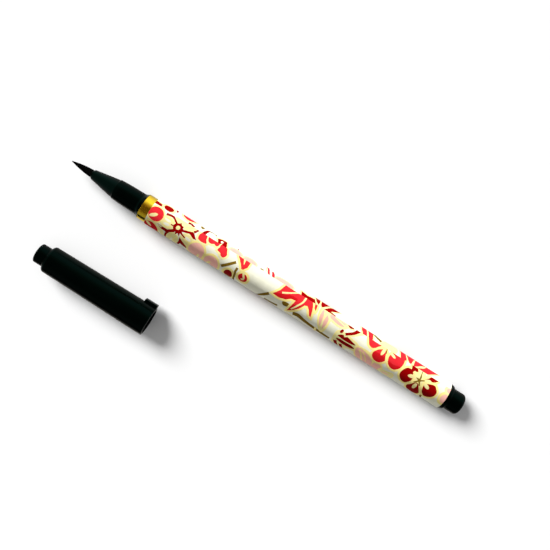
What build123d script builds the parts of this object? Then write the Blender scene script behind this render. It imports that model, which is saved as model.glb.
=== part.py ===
from build123d import *

import os

os.makedirs("parts", exist_ok=True)

# A brush pen with a push-on cap, an ink cartridge and a barrel covered in printed paper.
# Millimetres. The pen lies along X with its brush tip towards -X and its tail towards +X.
# The origin is on the pen's axis, half-way along the paper-covered barrel.
# The cap lies beside the uncapped pen, on the -Y side, with its mouth towards +X.

# Driving dimensions: outside of the pen, from the brush tip to the tail
tuft_exposed = 8.4
holder_length = 9.95
grip_length = 9.5
flare_length = 2.0
ring_length = 3.3
barrel_length = 121.4
tail_flange_length = 1.85
tail_nub_length = 5.15

barrel_radius = 5.0
paper_thickness = 0.18
ring_radius = 4.75
flare_radius = 4.7
grip_front_radius = 3.7
grip_rear_radius = 4.0
holder_rear_radius = 3.5
holder_nose_radius = 1.72
tail_flange_radius = 4.98
tail_nub_radius = 3.95

# Driving dimensions: cap
cap_length = 46.35
cap_mouth_radius = 5.49
cap_shoulder_radius = 5.07
cap_nub_radius = 3.65
cap_nub_length = 4.0
cap_straight_length = 6.0
tab_length = 5.1
tab_height = 1.05
tab_width = 2.8

# Where the cap lies, measured from where it sits when it is pushed on
cap_shift_x = 22.9
cap_shift_y = -33.96

# Fits, and how close an edge has to be to a plane to count as lying in it
running_gap = 0.05
press_gap = 0.02
glue_gap = 0.01
face_gap = 0.05
edge_tolerance = 0.01

# Stations along X
barrel_front = -barrel_length / 2
barrel_rear = barrel_length / 2
ring_front = barrel_front - ring_length
flare_front = ring_front - flare_length
grip_front = flare_front - grip_length
holder_front = grip_front - holder_length
tuft_tip = holder_front - tuft_exposed
tail_flange_rear = barrel_rear + tail_flange_length
tail_end = tail_flange_rear + tail_nub_length

# Brush holder and the parts it holds
holder_spigot_length = 6.6
holder_spigot_radius = 2.75
holder_spigot_rear = grip_front + holder_spigot_length
holder_mouth_radius = 1.36
holder_chamber_radius = 1.85
holder_chamber_front = holder_front + 4.5
holder_cone = ((3.9, 2.47), (6.6, 2.97))
nose_round = 0.5
nose_rise = 0.12
nose_bulge = 0.08
chamber_step = 0.3

tuft_radius = 1.3
tuft_root_radius = 1.75
tuft_root_front = holder_chamber_front + 0.1
tuft_root_rear = tuft_root_front + 2.0
tuft_point_radius = 0.06
tuft_taper_share = ((0.14, 0.27), (0.41, 0.54), (0.68, 0.79))

core_radius = 0.6
core_bore_radius = core_radius + running_gap
core_front = holder_front + 2.4
core_taper = 1.4
core_tip_radius = 0.2
core_bore_depth = 1.0

retainer_front = tuft_root_rear + 0.1
retainer_rear = retainer_front + 5.6

# Grip section
grip_belly = ((2.6, 3.86), (5.6, 3.96))
grip_edge = 0.12
flare_edge = 0.1
flare_rear = ring_front - face_gap
spigot_radius = 3.5
spigot_depth = 10.7
spigot_rear = barrel_front + spigot_depth
spigot_chamfer = 0.3
regulator_bore_radius = 2.85

# Ink regulator and nipple tube
regulator_front = retainer_rear + 0.1
regulator_shoulder = holder_spigot_rear + 0.2
regulator_core_radius = 1.4
fin_radius = 2.8
fin_thickness = 0.4
fin_pitch = 0.8
fin_count = 18
collar_front = spigot_rear - 4.6
collar_rear = spigot_rear - 1.5
boss_radius = 1.6
boss_rear = spigot_rear + 0.1
slit_width = 0.3
nipple_radius = 0.9
nipple_bore_radius = 0.55
nipple_front = spigot_rear - 5.0
nipple_rear = spigot_rear + 5.5
nipple_bevel = 0.2
core_rear = nipple_front - 0.1

# Ink cartridge
cartridge_front = spigot_rear + 0.6
neck_radius = 2.4
neck_bore_radius = 1.9
neck_ring_rear = cartridge_front + 3.4
neck_ring_recess = 1.2
neck_throat_radius = 1.3
shoulder_front = cartridge_front + 5.4
shoulder_rear = shoulder_front + 1.6
bottle_radius = 3.3
bottle_bore_radius = 2.75
bottle_rear = shoulder_rear + 60.9
end_plug_depth = 2.5
end_plug_flange = 0.7
end_plug_round = 0.3
ball_radius = 1.2
ball_x = shoulder_rear + 12.4

# Barrel
tube_radius = barrel_radius - paper_thickness - glue_gap
tube_bore_radius = 4.1
socket_nose_radius = 4.5
socket_rear = spigot_rear + 2.0
socket_bore_radius = spigot_radius + running_gap
ring_edge = 0.08
plug_spigot_length = 10.0
plug_bore_radius = 3.3
plug_wall = 2.9
plug_round = 1.3
flange_draft_length = 1.0
flange_draft = 0.28
flange_round = 0.25
flange_hollow_radius = 0.9

# Cap, with distances measured from its mouth towards its crown
cap_counterbore_radius = flare_radius + 0.07
cap_counterbore_depth = 1.0
cap_bore_radius = 4.32
cap_bore_depth = 35.2
cap_hollow_radius = 2.6
cap_hollow_depth = 45.1
cap_shoulder_round = 1.1
cap_nub_round = 0.45
cap_mouth_round = 0.3
inner_cap_lip = 10.8
inner_cap_end = 35.0
inner_cap_wall = 0.8
inner_cap_bore_radius = 3.83
tab_setback = 0.25
tab_root_wall = 0.6
tab_drop = 1.0
tab_round = 0.35

floor_z = -barrel_radius
cap_mouth_x = ring_front - face_gap + cap_shift_x
cap_z = floor_z + cap_mouth_radius
cap_plane = Plane(origin=(cap_mouth_x, cap_shift_y, cap_z), x_dir=(-1, 0, 0), z_dir=(0, 1, 0))
cap_axis = Axis((cap_mouth_x, cap_shift_y, cap_z), (-1, 0, 0))


# The tuft: nylon filaments drawn to a point, fused together at the root and hollow there
with BuildPart() as bristle_tuft:
    taper_points = [(tuft_tip + a * tuft_exposed, b * tuft_radius) for a, b in tuft_taper_share]
    with BuildSketch(Plane.XZ):
        with BuildLine():
            point_edge = Line((tuft_tip, 0), (tuft_tip, tuft_point_radius))
            belly = Spline(point_edge @ 1, *taper_points, (holder_front, tuft_radius))
            Polyline(
                belly @ 1,
                (tuft_root_front - chamber_step, tuft_radius),
                (tuft_root_front, tuft_root_radius),
                (tuft_root_rear, tuft_root_radius),
                (tuft_root_rear, core_bore_radius),
                (core_front, core_bore_radius),
                (core_front - core_bore_depth, 0),
                (tuft_tip, 0),
            )
        make_face()
    revolve(axis=Axis.X)


# The brush holder: the black cone that grips the tuft, with a spigot behind it
with BuildPart() as brush_holder:
    with BuildSketch(Plane.XZ):
        with BuildLine():
            nose_start = (holder_front, holder_nose_radius - nose_round / 2)
            nose_end = (holder_front + nose_round, holder_nose_radius + nose_rise)
            SagittaArc(nose_start, nose_end, -nose_bulge)
            cone_points = [(holder_front + x, radius) for x, radius in holder_cone]
            cone = Spline(nose_end, *cone_points, (grip_front, holder_rear_radius))
            Polyline(
                cone @ 1,
                (grip_front, holder_spigot_radius),
                (holder_spigot_rear, holder_spigot_radius),
                (holder_spigot_rear, holder_chamber_radius),
                (holder_chamber_front, holder_chamber_radius),
                (holder_chamber_front - chamber_step, holder_mouth_radius),
                (holder_front, holder_mouth_radius),
                nose_start,
            )
        make_face()
    revolve(axis=Axis.X)


# The retainer: a sleeve pressed in behind the tuft's fused root
with BuildPart() as tuft_retainer:
    with BuildSketch(Plane.YZ.offset(retainer_front)):
        Circle(holder_chamber_radius - press_gap)
        Circle(core_bore_radius, mode=Mode.SUBTRACT)
    extrude(amount=retainer_rear - retainer_front)


# The grip section: the front socket takes the holder, the rear spigot enters the barrel
with BuildPart() as grip_section:
    with BuildSketch(Plane.XZ):
        with BuildLine():
            front_edge = Polyline(
                (grip_front, holder_spigot_radius + press_gap),
                (grip_front, grip_front_radius - grip_edge),
                (grip_front + grip_edge, grip_front_radius),
            )
            belly_points = [(grip_front + x, radius) for x, radius in grip_belly]
            flare_start = (flare_front, grip_rear_radius)
            Spline(front_edge @ 1, *belly_points, flare_start)
            flare = TangentArc(flare_start, (flare_rear - flare_edge, flare_radius), tangent=(1, 0))
            Polyline(
                flare @ 1,
                (flare_rear, flare_radius),
                (flare_rear, spigot_radius),
                (spigot_rear - spigot_chamfer, spigot_radius),
                (spigot_rear, spigot_radius - spigot_chamfer),
                (spigot_rear, regulator_bore_radius),
                (holder_spigot_rear + face_gap, regulator_bore_radius),
                (holder_spigot_rear + face_gap, holder_spigot_radius + press_gap),
                front_edge @ 0,
            )
        make_face()
    revolve(axis=Axis.X)


# The feed core: a bonded-fibre rod that carries ink through the regulator into the tuft
with BuildPart() as feed_core:
    with BuildSketch(Plane.XZ):
        with BuildLine():
            Polyline(
                (core_front, 0),
                (core_front, core_tip_radius),
                (core_front + core_taper, core_radius),
                (core_rear, core_radius),
                (core_rear, 0),
                close=True,
            )
        make_face()
    revolve(axis=Axis.X)


# The ink regulator: a finned comb that holds surplus ink, slit along one side for air
with BuildPart() as ink_regulator:
    with BuildSketch(Plane.XZ):
        with BuildLine():
            Polyline(
                (regulator_front, core_bore_radius),
                (regulator_front, holder_chamber_radius - press_gap),
                (regulator_shoulder, holder_chamber_radius - press_gap),
                (regulator_shoulder, regulator_core_radius),
                (collar_front, regulator_core_radius),
                (collar_front, regulator_bore_radius - press_gap),
                (collar_rear, regulator_bore_radius - press_gap),
                (collar_rear, boss_radius),
                (boss_rear, boss_radius),
                (boss_rear, nipple_radius + press_gap),
                (nipple_front, nipple_radius + press_gap),
                (nipple_front, core_bore_radius),
                close=True,
            )
        make_face()
    revolve(axis=Axis.X)
    for fin in range(fin_count):
        with BuildSketch(Plane.YZ.offset(regulator_shoulder + fin * fin_pitch)):
            Circle(fin_radius)
            Circle((core_bore_radius + regulator_core_radius) / 2, mode=Mode.SUBTRACT)
        extrude(amount=fin_thickness)
    with BuildSketch(Plane.XY.offset(regulator_core_radius / 2 + core_bore_radius / 2)):
        with Locations(((regulator_shoulder + collar_front) / 2, 0)):
            Rectangle(collar_front - regulator_shoulder, slit_width)
    extrude(amount=fin_radius, mode=Mode.SUBTRACT)


# The nipple tube: the pipe that the cartridge is pushed on to
with BuildPart() as nipple_tube:
    with BuildSketch(Plane.YZ.offset(nipple_front)):
        Circle(nipple_radius)
        Circle(nipple_bore_radius, mode=Mode.SUBTRACT)
    extrude(amount=nipple_rear - nipple_front)
    chamfer(nipple_tube.edges().group_by(Axis.X)[-1].sort_by(SortBy.RADIUS)[-1], nipple_bevel)


# The cartridge bottle: a tube with a narrow neck at the front, open at the rear
with BuildPart() as cartridge_bottle:
    with BuildSketch(Plane.XZ):
        with BuildLine():
            Polyline(
                (cartridge_front, neck_bore_radius),
                (cartridge_front, neck_radius),
                (shoulder_front, neck_radius),
                (shoulder_rear, bottle_radius),
                (bottle_rear, bottle_radius),
                (bottle_rear, bottle_bore_radius),
                (shoulder_rear, bottle_bore_radius),
                (shoulder_front, neck_throat_radius),
                (neck_ring_rear + press_gap, neck_throat_radius),
                (neck_ring_rear + press_gap, neck_bore_radius),
                close=True,
            )
        make_face()
    revolve(axis=Axis.X)


# The neck ring: seals on the nipple tube, with the recess that the seal ball was pressed into
with BuildPart() as cartridge_neck_ring:
    with BuildSketch(Plane.XZ):
        with BuildLine():
            Polyline(
                (cartridge_front, nipple_radius + running_gap),
                (cartridge_front, neck_bore_radius - press_gap),
                (neck_ring_rear, neck_bore_radius - press_gap),
                (neck_ring_rear, ball_radius - press_gap),
                (neck_ring_rear - neck_ring_recess, ball_radius - press_gap),
                (neck_ring_rear - neck_ring_recess, nipple_radius + running_gap),
                close=True,
            )
        make_face()
    revolve(axis=Axis.X)


# The end plug: welded into the bottle's open rear
with BuildPart() as cartridge_end_plug:
    with BuildSketch(Plane.YZ.offset(bottle_rear - end_plug_depth)):
        Circle(bottle_bore_radius - press_gap)
    extrude(amount=end_plug_depth)
    with BuildSketch(Plane.YZ.offset(bottle_rear)):
        Circle(bottle_radius)
    extrude(amount=end_plug_flange)
    fillet(cartridge_end_plug.edges().group_by(Axis.X)[-1], end_plug_round)


# The seal ball: pushed back into the ink when the cartridge is fitted, and loose from then on
ball_z = -(bottle_bore_radius - ball_radius - running_gap)
with BuildPart() as seal_ball:
    with BuildSketch(Plane(origin=(ball_x, 0, ball_z), x_dir=(1, 0, 0), z_dir=(0, -1, 0))):
        with BuildLine():
            ball_arc = CenterArc((0, 0), ball_radius, 0, 180)
            Line(ball_arc @ 1, ball_arc @ 0)
        make_face()
    revolve(axis=Axis((ball_x, 0, ball_z), (1, 0, 0)))


# The barrel tube: a plain moulded tube under the paper
with BuildPart() as barrel_tube:
    with BuildSketch(Plane.YZ.offset(barrel_front)):
        Circle(tube_radius)
        Circle(tube_bore_radius, mode=Mode.SUBTRACT)
    extrude(amount=barrel_length)


# The paper wrap: one printed sheet glued round the tube
with BuildPart() as washi_wrap:
    with BuildSketch(Plane.YZ.offset(barrel_front)):
        Circle(barrel_radius)
        Circle(barrel_radius - paper_thickness, mode=Mode.SUBTRACT)
    extrude(amount=barrel_length)


# The socket: glued into the barrel's mouth, its nose carries the ring
with BuildPart() as barrel_socket:
    with BuildSketch(Plane.XZ):
        with BuildLine():
            Polyline(
                (ring_front, socket_bore_radius),
                (ring_front, socket_nose_radius),
                (barrel_front, socket_nose_radius),
                (barrel_front, tube_bore_radius - press_gap),
                (socket_rear, tube_bore_radius - press_gap),
                (socket_rear, socket_bore_radius),
                close=True,
            )
        make_face()
    revolve(axis=Axis.X)


# The gold ring: a thin metal band over the socket's nose
with BuildPart() as gold_ring:
    with BuildSketch(Plane.YZ.offset(ring_front)):
        Circle(ring_radius)
        Circle(socket_nose_radius + press_gap, mode=Mode.SUBTRACT)
    extrude(amount=ring_length)
    ring_rims = gold_ring.edges().filter_by(GeomType.CIRCLE).group_by(SortBy.RADIUS)[-1]
    fillet(ring_rims, ring_edge)


# The tail plug: a flange against the paper's edge, a nub behind it and a spigot in the tube
with BuildPart() as tail_plug:
    with BuildSketch(Plane.XZ):
        with BuildLine():
            flange_top = (barrel_rear, tail_flange_radius)
            flange_edge = (barrel_rear + flange_draft_length, tail_flange_radius - flange_draft)
            hollow = RadiusArc(flange_edge, (tail_flange_rear, tail_nub_radius), flange_hollow_radius)
            Polyline(
                hollow @ 1,
                (tail_end, tail_nub_radius),
                (tail_end, 0),
                (tail_end - plug_wall, 0),
                (tail_end - plug_wall, plug_bore_radius),
                (barrel_rear - plug_spigot_length, plug_bore_radius),
                (barrel_rear - plug_spigot_length, tube_bore_radius - press_gap),
                (barrel_rear, tube_bore_radius - press_gap),
                flange_top,
                flange_edge,
            )
        make_face()
    revolve(axis=Axis.X)
    fillet(tail_plug.edges().group_by(Axis.X)[-1], plug_round)
    flange_edge_x = barrel_rear + flange_draft_length
    flange_span = (flange_edge_x - edge_tolerance, flange_edge_x + edge_tolerance)
    flange_rim = tail_plug.edges().filter_by_position(Axis.X, *flange_span)
    fillet(flange_rim, flange_round)


# The cap: a tapered moulding with a nub at its crown and an anti-roll tab at its mouth
with BuildPart() as cap_shell:
    cap_nub_base = cap_length - cap_nub_length
    with BuildSketch(cap_plane):
        with BuildLine():
            Polyline(
                (0, cap_counterbore_radius),
                (0, cap_mouth_radius),
                (cap_straight_length, cap_mouth_radius),
                (cap_nub_base, cap_shoulder_radius),
                (cap_nub_base, cap_nub_radius),
                (cap_length, cap_nub_radius),
                (cap_length, 0),
                (cap_hollow_depth, 0),
                (cap_hollow_depth, cap_hollow_radius),
                (cap_bore_depth, cap_hollow_radius),
                (cap_bore_depth, cap_bore_radius),
                (cap_counterbore_depth, cap_bore_radius),
                (cap_counterbore_depth, cap_counterbore_radius),
                close=True,
            )
        make_face()
    revolve(axis=cap_axis)
    crown_rim = cap_shell.edges().group_by(Axis.X)[0]
    fillet(crown_rim, cap_nub_round)
    shoulder_x = cap_mouth_x - cap_nub_base
    shoulder_span = (shoulder_x - edge_tolerance, shoulder_x + edge_tolerance)
    shoulder_rims = cap_shell.edges().filter_by_position(Axis.X, *shoulder_span)
    fillet(shoulder_rims.sort_by(SortBy.RADIUS)[-1], cap_shoulder_round)
    mouth_rims = cap_shell.edges().group_by(Axis.X)[-1]
    fillet(mouth_rims.sort_by(SortBy.RADIUS)[-1], cap_mouth_round)
    tab_middle_x = cap_mouth_x - tab_setback - tab_length / 2
    tab_root = cap_bore_radius + tab_root_wall
    with BuildSketch(Plane.XZ.offset(-(cap_shift_y + tab_root))):
        with Locations((tab_middle_x, cap_z - tab_drop)):
            RectangleRounded(tab_length, tab_width, tab_round)
    extrude(amount=-(cap_mouth_radius + tab_height - tab_root))
    tab_rims = cap_shell.edges().group_by(Axis.Y)[-1]
    fillet(tab_rims, tab_round)


# The inner cap: a liner pressed into the cap that closes round the front of the grip
with BuildPart() as inner_cap:
    with BuildSketch(cap_plane):
        with BuildLine():
            Polyline(
                (inner_cap_lip, inner_cap_bore_radius),
                (inner_cap_lip, cap_bore_radius - press_gap),
                (inner_cap_end, cap_bore_radius - press_gap),
                (inner_cap_end, 0),
                (inner_cap_end - inner_cap_wall, 0),
                (inner_cap_end - inner_cap_wall, inner_cap_bore_radius),
                close=True,
            )
        make_face()
    revolve(axis=cap_axis)


bristle_tuft.part.label = "bristle_tuft"
export_step(bristle_tuft.part, "parts/bristle_tuft.step")
brush_holder.part.label = "brush_holder"
export_step(brush_holder.part, "parts/brush_holder.step")
tuft_retainer.part.label = "tuft_retainer"
export_step(tuft_retainer.part, "parts/tuft_retainer.step")
grip_section.part.label = "grip_section"
export_step(grip_section.part, "parts/grip_section.step")
feed_core.part.label = "feed_core"
export_step(feed_core.part, "parts/feed_core.step")
ink_regulator.part.label = "ink_regulator"
export_step(ink_regulator.part, "parts/ink_regulator.step")
nipple_tube.part.label = "nipple_tube"
export_step(nipple_tube.part, "parts/nipple_tube.step")
cartridge_bottle.part.label = "cartridge_bottle"
export_step(cartridge_bottle.part, "parts/cartridge_bottle.step")
cartridge_neck_ring.part.label = "cartridge_neck_ring"
export_step(cartridge_neck_ring.part, "parts/cartridge_neck_ring.step")
cartridge_end_plug.part.label = "cartridge_end_plug"
export_step(cartridge_end_plug.part, "parts/cartridge_end_plug.step")
seal_ball.part.label = "seal_ball"
export_step(seal_ball.part, "parts/seal_ball.step")
barrel_tube.part.label = "barrel_tube"
export_step(barrel_tube.part, "parts/barrel_tube.step")
washi_wrap.part.label = "washi_wrap"
export_step(washi_wrap.part, "parts/washi_wrap.step")
barrel_socket.part.label = "barrel_socket"
export_step(barrel_socket.part, "parts/barrel_socket.step")
gold_ring.part.label = "gold_ring"
export_step(gold_ring.part, "parts/gold_ring.step")
tail_plug.part.label = "tail_plug"
export_step(tail_plug.part, "parts/tail_plug.step")
cap_shell.part.label = "cap_shell"
export_step(cap_shell.part, "parts/cap_shell.step")
inner_cap.part.label = "inner_cap"
export_step(inner_cap.part, "parts/inner_cap.step")
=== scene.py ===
import math
import random

import bmesh
import bpy
import numpy as np
from mathutils import Matrix, Vector, geometry, noise


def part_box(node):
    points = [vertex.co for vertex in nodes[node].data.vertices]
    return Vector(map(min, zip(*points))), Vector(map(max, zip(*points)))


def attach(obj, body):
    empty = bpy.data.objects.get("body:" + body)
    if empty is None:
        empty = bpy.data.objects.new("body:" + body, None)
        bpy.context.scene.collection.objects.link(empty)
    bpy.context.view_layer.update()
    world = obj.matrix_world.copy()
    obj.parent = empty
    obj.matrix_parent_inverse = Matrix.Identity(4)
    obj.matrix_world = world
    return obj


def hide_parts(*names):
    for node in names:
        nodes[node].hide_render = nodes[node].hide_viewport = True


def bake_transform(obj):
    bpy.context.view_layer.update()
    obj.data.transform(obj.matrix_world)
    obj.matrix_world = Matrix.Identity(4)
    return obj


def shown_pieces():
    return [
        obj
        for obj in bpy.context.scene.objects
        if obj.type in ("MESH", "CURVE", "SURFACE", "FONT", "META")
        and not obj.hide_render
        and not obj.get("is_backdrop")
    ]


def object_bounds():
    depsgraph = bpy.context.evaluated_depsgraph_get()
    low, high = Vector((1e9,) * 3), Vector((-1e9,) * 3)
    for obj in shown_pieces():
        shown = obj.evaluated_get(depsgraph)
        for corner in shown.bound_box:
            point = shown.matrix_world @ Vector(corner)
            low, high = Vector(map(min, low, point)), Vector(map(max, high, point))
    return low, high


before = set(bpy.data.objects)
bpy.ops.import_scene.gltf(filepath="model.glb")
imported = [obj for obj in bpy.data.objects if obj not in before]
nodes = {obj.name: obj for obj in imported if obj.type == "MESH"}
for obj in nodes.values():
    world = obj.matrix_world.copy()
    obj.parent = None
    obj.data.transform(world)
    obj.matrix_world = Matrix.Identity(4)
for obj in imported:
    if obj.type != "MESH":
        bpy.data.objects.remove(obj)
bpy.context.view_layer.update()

# A brush pen lying uncapped beside its cap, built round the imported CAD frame.
# Lengths that end in _mm are millimetres; everything placed in the scene is in metres.

MM = 0.001

random.seed(7)


# ---- material helpers


def add_node(tree, kind, **inputs):
    """A new shader node with some of its inputs set."""
    made = tree.nodes.new("ShaderNode" + kind)
    for name, value in inputs.items():
        made.inputs[name].default_value = value
    return made


class Surface:
    """A principled material under construction, with short calls for the procedural nodes it needs."""

    def __init__(self, name, colour, roughness, metallic=0.0, specular=0.5):
        self.material = bpy.data.materials.new(name)
        self.material.use_nodes = True
        self.material.diffuse_color = (*colour, 1)
        self.tree = self.material.node_tree
        self.join = self.tree.links.new
        self.shader = self.tree.nodes["Principled BSDF"]
        self.set("Base Color", (*colour, 1))
        self.set("Roughness", roughness)
        self.set("Metallic", metallic)
        self.set("Specular IOR Level", specular)
        self.place = add_node(self.tree, "TexCoord").outputs["Object"]

    def set(self, name, value):
        self.shader.inputs[name].default_value = value

    def noise(self, scale, detail=3.0, roughness=0.5):
        """Cloudy noise, 0 to 1. scale is cycles per metre, one number or one for each axis."""
        axes = scale if isinstance(scale, tuple) else (scale, scale, scale)
        mapping = add_node(self.tree, "Mapping", Scale=axes)
        self.join(self.place, mapping.inputs["Vector"])
        made = add_node(self.tree, "TexNoise", Scale=1.0, Detail=detail, Roughness=roughness)
        self.join(mapping.outputs["Vector"], made.inputs["Vector"])
        return made.outputs["Fac"]

    def remap(self, value, low, high, to_low=0.0, to_high=1.0):
        limits = {"From Min": low, "From Max": high, "To Min": to_low, "To Max": to_high}
        made = add_node(self.tree, "MapRange", **limits)
        self.join(value, made.inputs["Value"])
        return made.outputs["Result"]

    def mix_colour(self, share, first, second):
        made = add_node(self.tree, "Mix")
        made.data_type = "RGBA"
        self.join(share, made.inputs["Factor"])
        for colour, name in ((first, "A"), (second, "B")):
            socket = [s for s in made.inputs if s.name == name and s.type == "RGBA"][0]
            if isinstance(colour, tuple):
                socket.default_value = (*colour, 1)
            else:
                self.join(colour, socket)
        return [s for s in made.outputs if s.type == "RGBA"][0]

    def tint(self, share, first, second):
        self.join(self.mix_colour(share, first, second), self.shader.inputs["Base Color"])

    def roughness(self, value, low, high, to_low, to_high):
        self.join(self.remap(value, low, high, to_low, to_high), self.shader.inputs["Roughness"])

    def bump(self, height, depth_mm, strength):
        """Adds a bump on top of any that is there already."""
        made = add_node(self.tree, "Bump", Strength=strength, Distance=depth_mm * MM)
        self.join(height, made.inputs["Height"])
        earlier = self.shader.inputs["Normal"].links
        if earlier:
            self.join(earlier[0].from_socket, made.inputs["Normal"])
        self.join(made.outputs["Normal"], self.shader.inputs["Normal"])


def shade(colour, factor):
    return tuple(min(1.0, c * factor) for c in colour)


def grained(name, base, worn, grain, depth_mm, strength, detail=3.0, **finish):
    """A plain material: one noise both tints it, from base to worn, and gives it a bump."""
    made = Surface(name, base, **finish)
    texture = made.noise(grain, detail)
    made.tint(texture, base, worn)
    made.bump(texture, depth_mm, strength)
    return made


# ---- finishes of the moulded and metal pieces


def black_gloss_plastic():
    """Moulded gloss black with a faint green cast, handling marks and fine lengthwise hairlines."""
    base = (0.0001, 0.0004, 0.0003)
    made = Surface("black_gloss_plastic", base, 0.22, specular=0.045)
    made.set("Specular Tint", (0.22, 1.0, 0.8, 1))
    smudges = made.noise((90, 240, 240), detail=4)
    made.roughness(smudges, 0.3, 0.75, 0.12, 0.26)
    made.tint(smudges, base, shade(base, 2.2))
    hairlines = made.noise((260, 5200, 5200), detail=5, roughness=0.7)
    made.bump(made.remap(hairlines, 0.62, 0.78), 0.004, 0.35)
    orange_peel = made.noise((700, 900, 900), detail=2)
    made.bump(orange_peel, 0.006, 0.3)
    return made


def black_matte_plastic():
    base, worn = (0.018, 0.018, 0.019), (0.0324, 0.0324, 0.0342)
    finish = {"roughness": 0.55, "specular": 0.35}
    return grained("black_matte_plastic", base, worn, 2600, 0.01, 0.5, detail=4, **finish)


def gold_metal():
    """Plated band, polished, with turned lines running round it."""
    base = (0.98, 0.74, 0.042)
    made = Surface("gold_metal", base, 0.14, metallic=1.0)
    lines = made.noise((9000, 60, 60))
    made.bump(lines, 0.002, 0.35)
    tarnish = made.noise(500, detail=4)
    made.tint(made.remap(tarnish, 0.35, 0.75), base, (0.95, 0.58, 0.035))
    made.roughness(tarnish, 0.3, 0.7, 0.10, 0.22)
    return made


def white_plastic():
    base, worn = (0.74, 0.74, 0.71), (0.82, 0.82, 0.80)
    return grained("white_plastic", base, worn, (40, 2400, 2400), 0.006, 0.4, roughness=0.42)


def natural_plastic():
    """Unpigmented polyethylene: waxy, slightly see-through."""
    base, worn = (0.72, 0.72, 0.66), (0.80, 0.80, 0.75)
    made = grained("natural_plastic", base, worn, 800, 0.008, 0.3, roughness=0.38)
    made.set("Subsurface Weight", 0.35)
    made.set("Subsurface Scale", 0.6 * MM)
    return made


def clear_plastic():
    """Translucent polypropylene bottle, stained by ink."""
    base = (0.62, 0.65, 0.66)
    made = Surface("clear_plastic", base, 0.24)
    made.set("Transmission Weight", 0.55)
    made.set("IOR", 1.49)
    stain = made.noise((70, 420, 420), detail=5)
    made.tint(made.remap(stain, 0.42, 0.66), base, (0.10, 0.11, 0.13))
    flow = made.noise((60, 1200, 1200), detail=2)
    made.bump(flow, 0.01, 0.4)
    return made


def bonded_fibre():
    base, worn = (0.035, 0.036, 0.042), (0.10, 0.10, 0.11)
    return grained("bonded_fibre", base, worn, (300, 9000, 9000), 0.03, 0.8, roughness=0.85, specular=0.2)


def steel():
    base = (0.62, 0.62, 0.64)
    made = Surface("steel", base, 0.18, metallic=1.0)
    wear = made.noise(1500, detail=4)
    made.roughness(wear, 0.3, 0.7, 0.12, 0.3)
    made.tint(wear, base, (0.52, 0.52, 0.53))
    return made


def nylon_bristle():
    """Black nylon filaments, matt with a weak lengthwise sheen."""
    base = (0.0006, 0.0007, 0.0006)
    made = Surface("nylon_bristle", base, 0.48, specular=0.015)
    strands = made.noise((500, 14000, 14000), detail=2)
    made.tint(strands, base, shade(base, 3.0))
    made.roughness(strands, 0.3, 0.7, 0.4, 0.62)
    return made


# ---- paper and inks


def washi_fibres(made, depth_mm):
    """The long loose fibres and soft lumps of handmade paper, as layers of bump."""
    lumps = made.noise(1100, detail=4)
    made.bump(lumps, depth_mm, 0.35)
    for scale in ((350, 3600, 900), (2900, 700, 2900)):
        fibres = made.noise(scale, roughness=0.6)
        made.bump(made.remap(fibres, 0.55, 0.75), depth_mm, 0.3)
    return lumps


def washi_paper():
    base = (0.64, 0.63, 0.49)
    made = Surface("printed_washi", base, 0.82, specular=0.08)
    lumps = washi_fibres(made, 0.03)
    flecks = made.noise(420, detail=5)
    tone = made.mix_colour(made.remap(flecks, 0.3, 0.7), shade(base, 0.95), (0.66, 0.65, 0.52))
    made.tint(made.remap(lumps, 0.58, 0.72, 0, 0.5), tone, (0.68, 0.68, 0.58))
    return made


def flat_ink(name, colour, worn):
    """A screen-printed ink on washi. worn is the tone it has where it lies thin over a fibre."""
    mottle = 0.35
    made = Surface(name, colour, 0.68, specular=0.02)
    lumps = washi_fibres(made, 0.022)
    cloud = made.noise(620, detail=5, roughness=0.6)
    body = made.mix_colour(made.remap(cloud, 0.35, 0.7, 0, mottle), colour, worn)
    made.tint(made.remap(lumps, 0.60, 0.76, 0, mottle), body, worn)
    return made


def gold_ink(name, colour):
    """Printed pale gold: a thicker ink with fine flakes in it."""
    made = Surface(name, colour, 0.5, specular=0.1)
    flakes = made.noise(3800)
    cloud = made.noise(540, detail=4)
    tone = made.mix_colour(made.remap(cloud, 0.3, 0.7, 0, 0.6), colour, shade(colour, 1.25))
    made.tint(made.remap(flakes, 0.55, 0.8, 0, 0.5), tone, shade(colour, 0.75))
    made.bump(flakes, 0.01, 0.3)
    return made


# How high the coats of each maker stand on the sheet.
height_mm = {washi_paper: 0.0, flat_ink: 0.012, gold_ink: 0.03}

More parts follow.
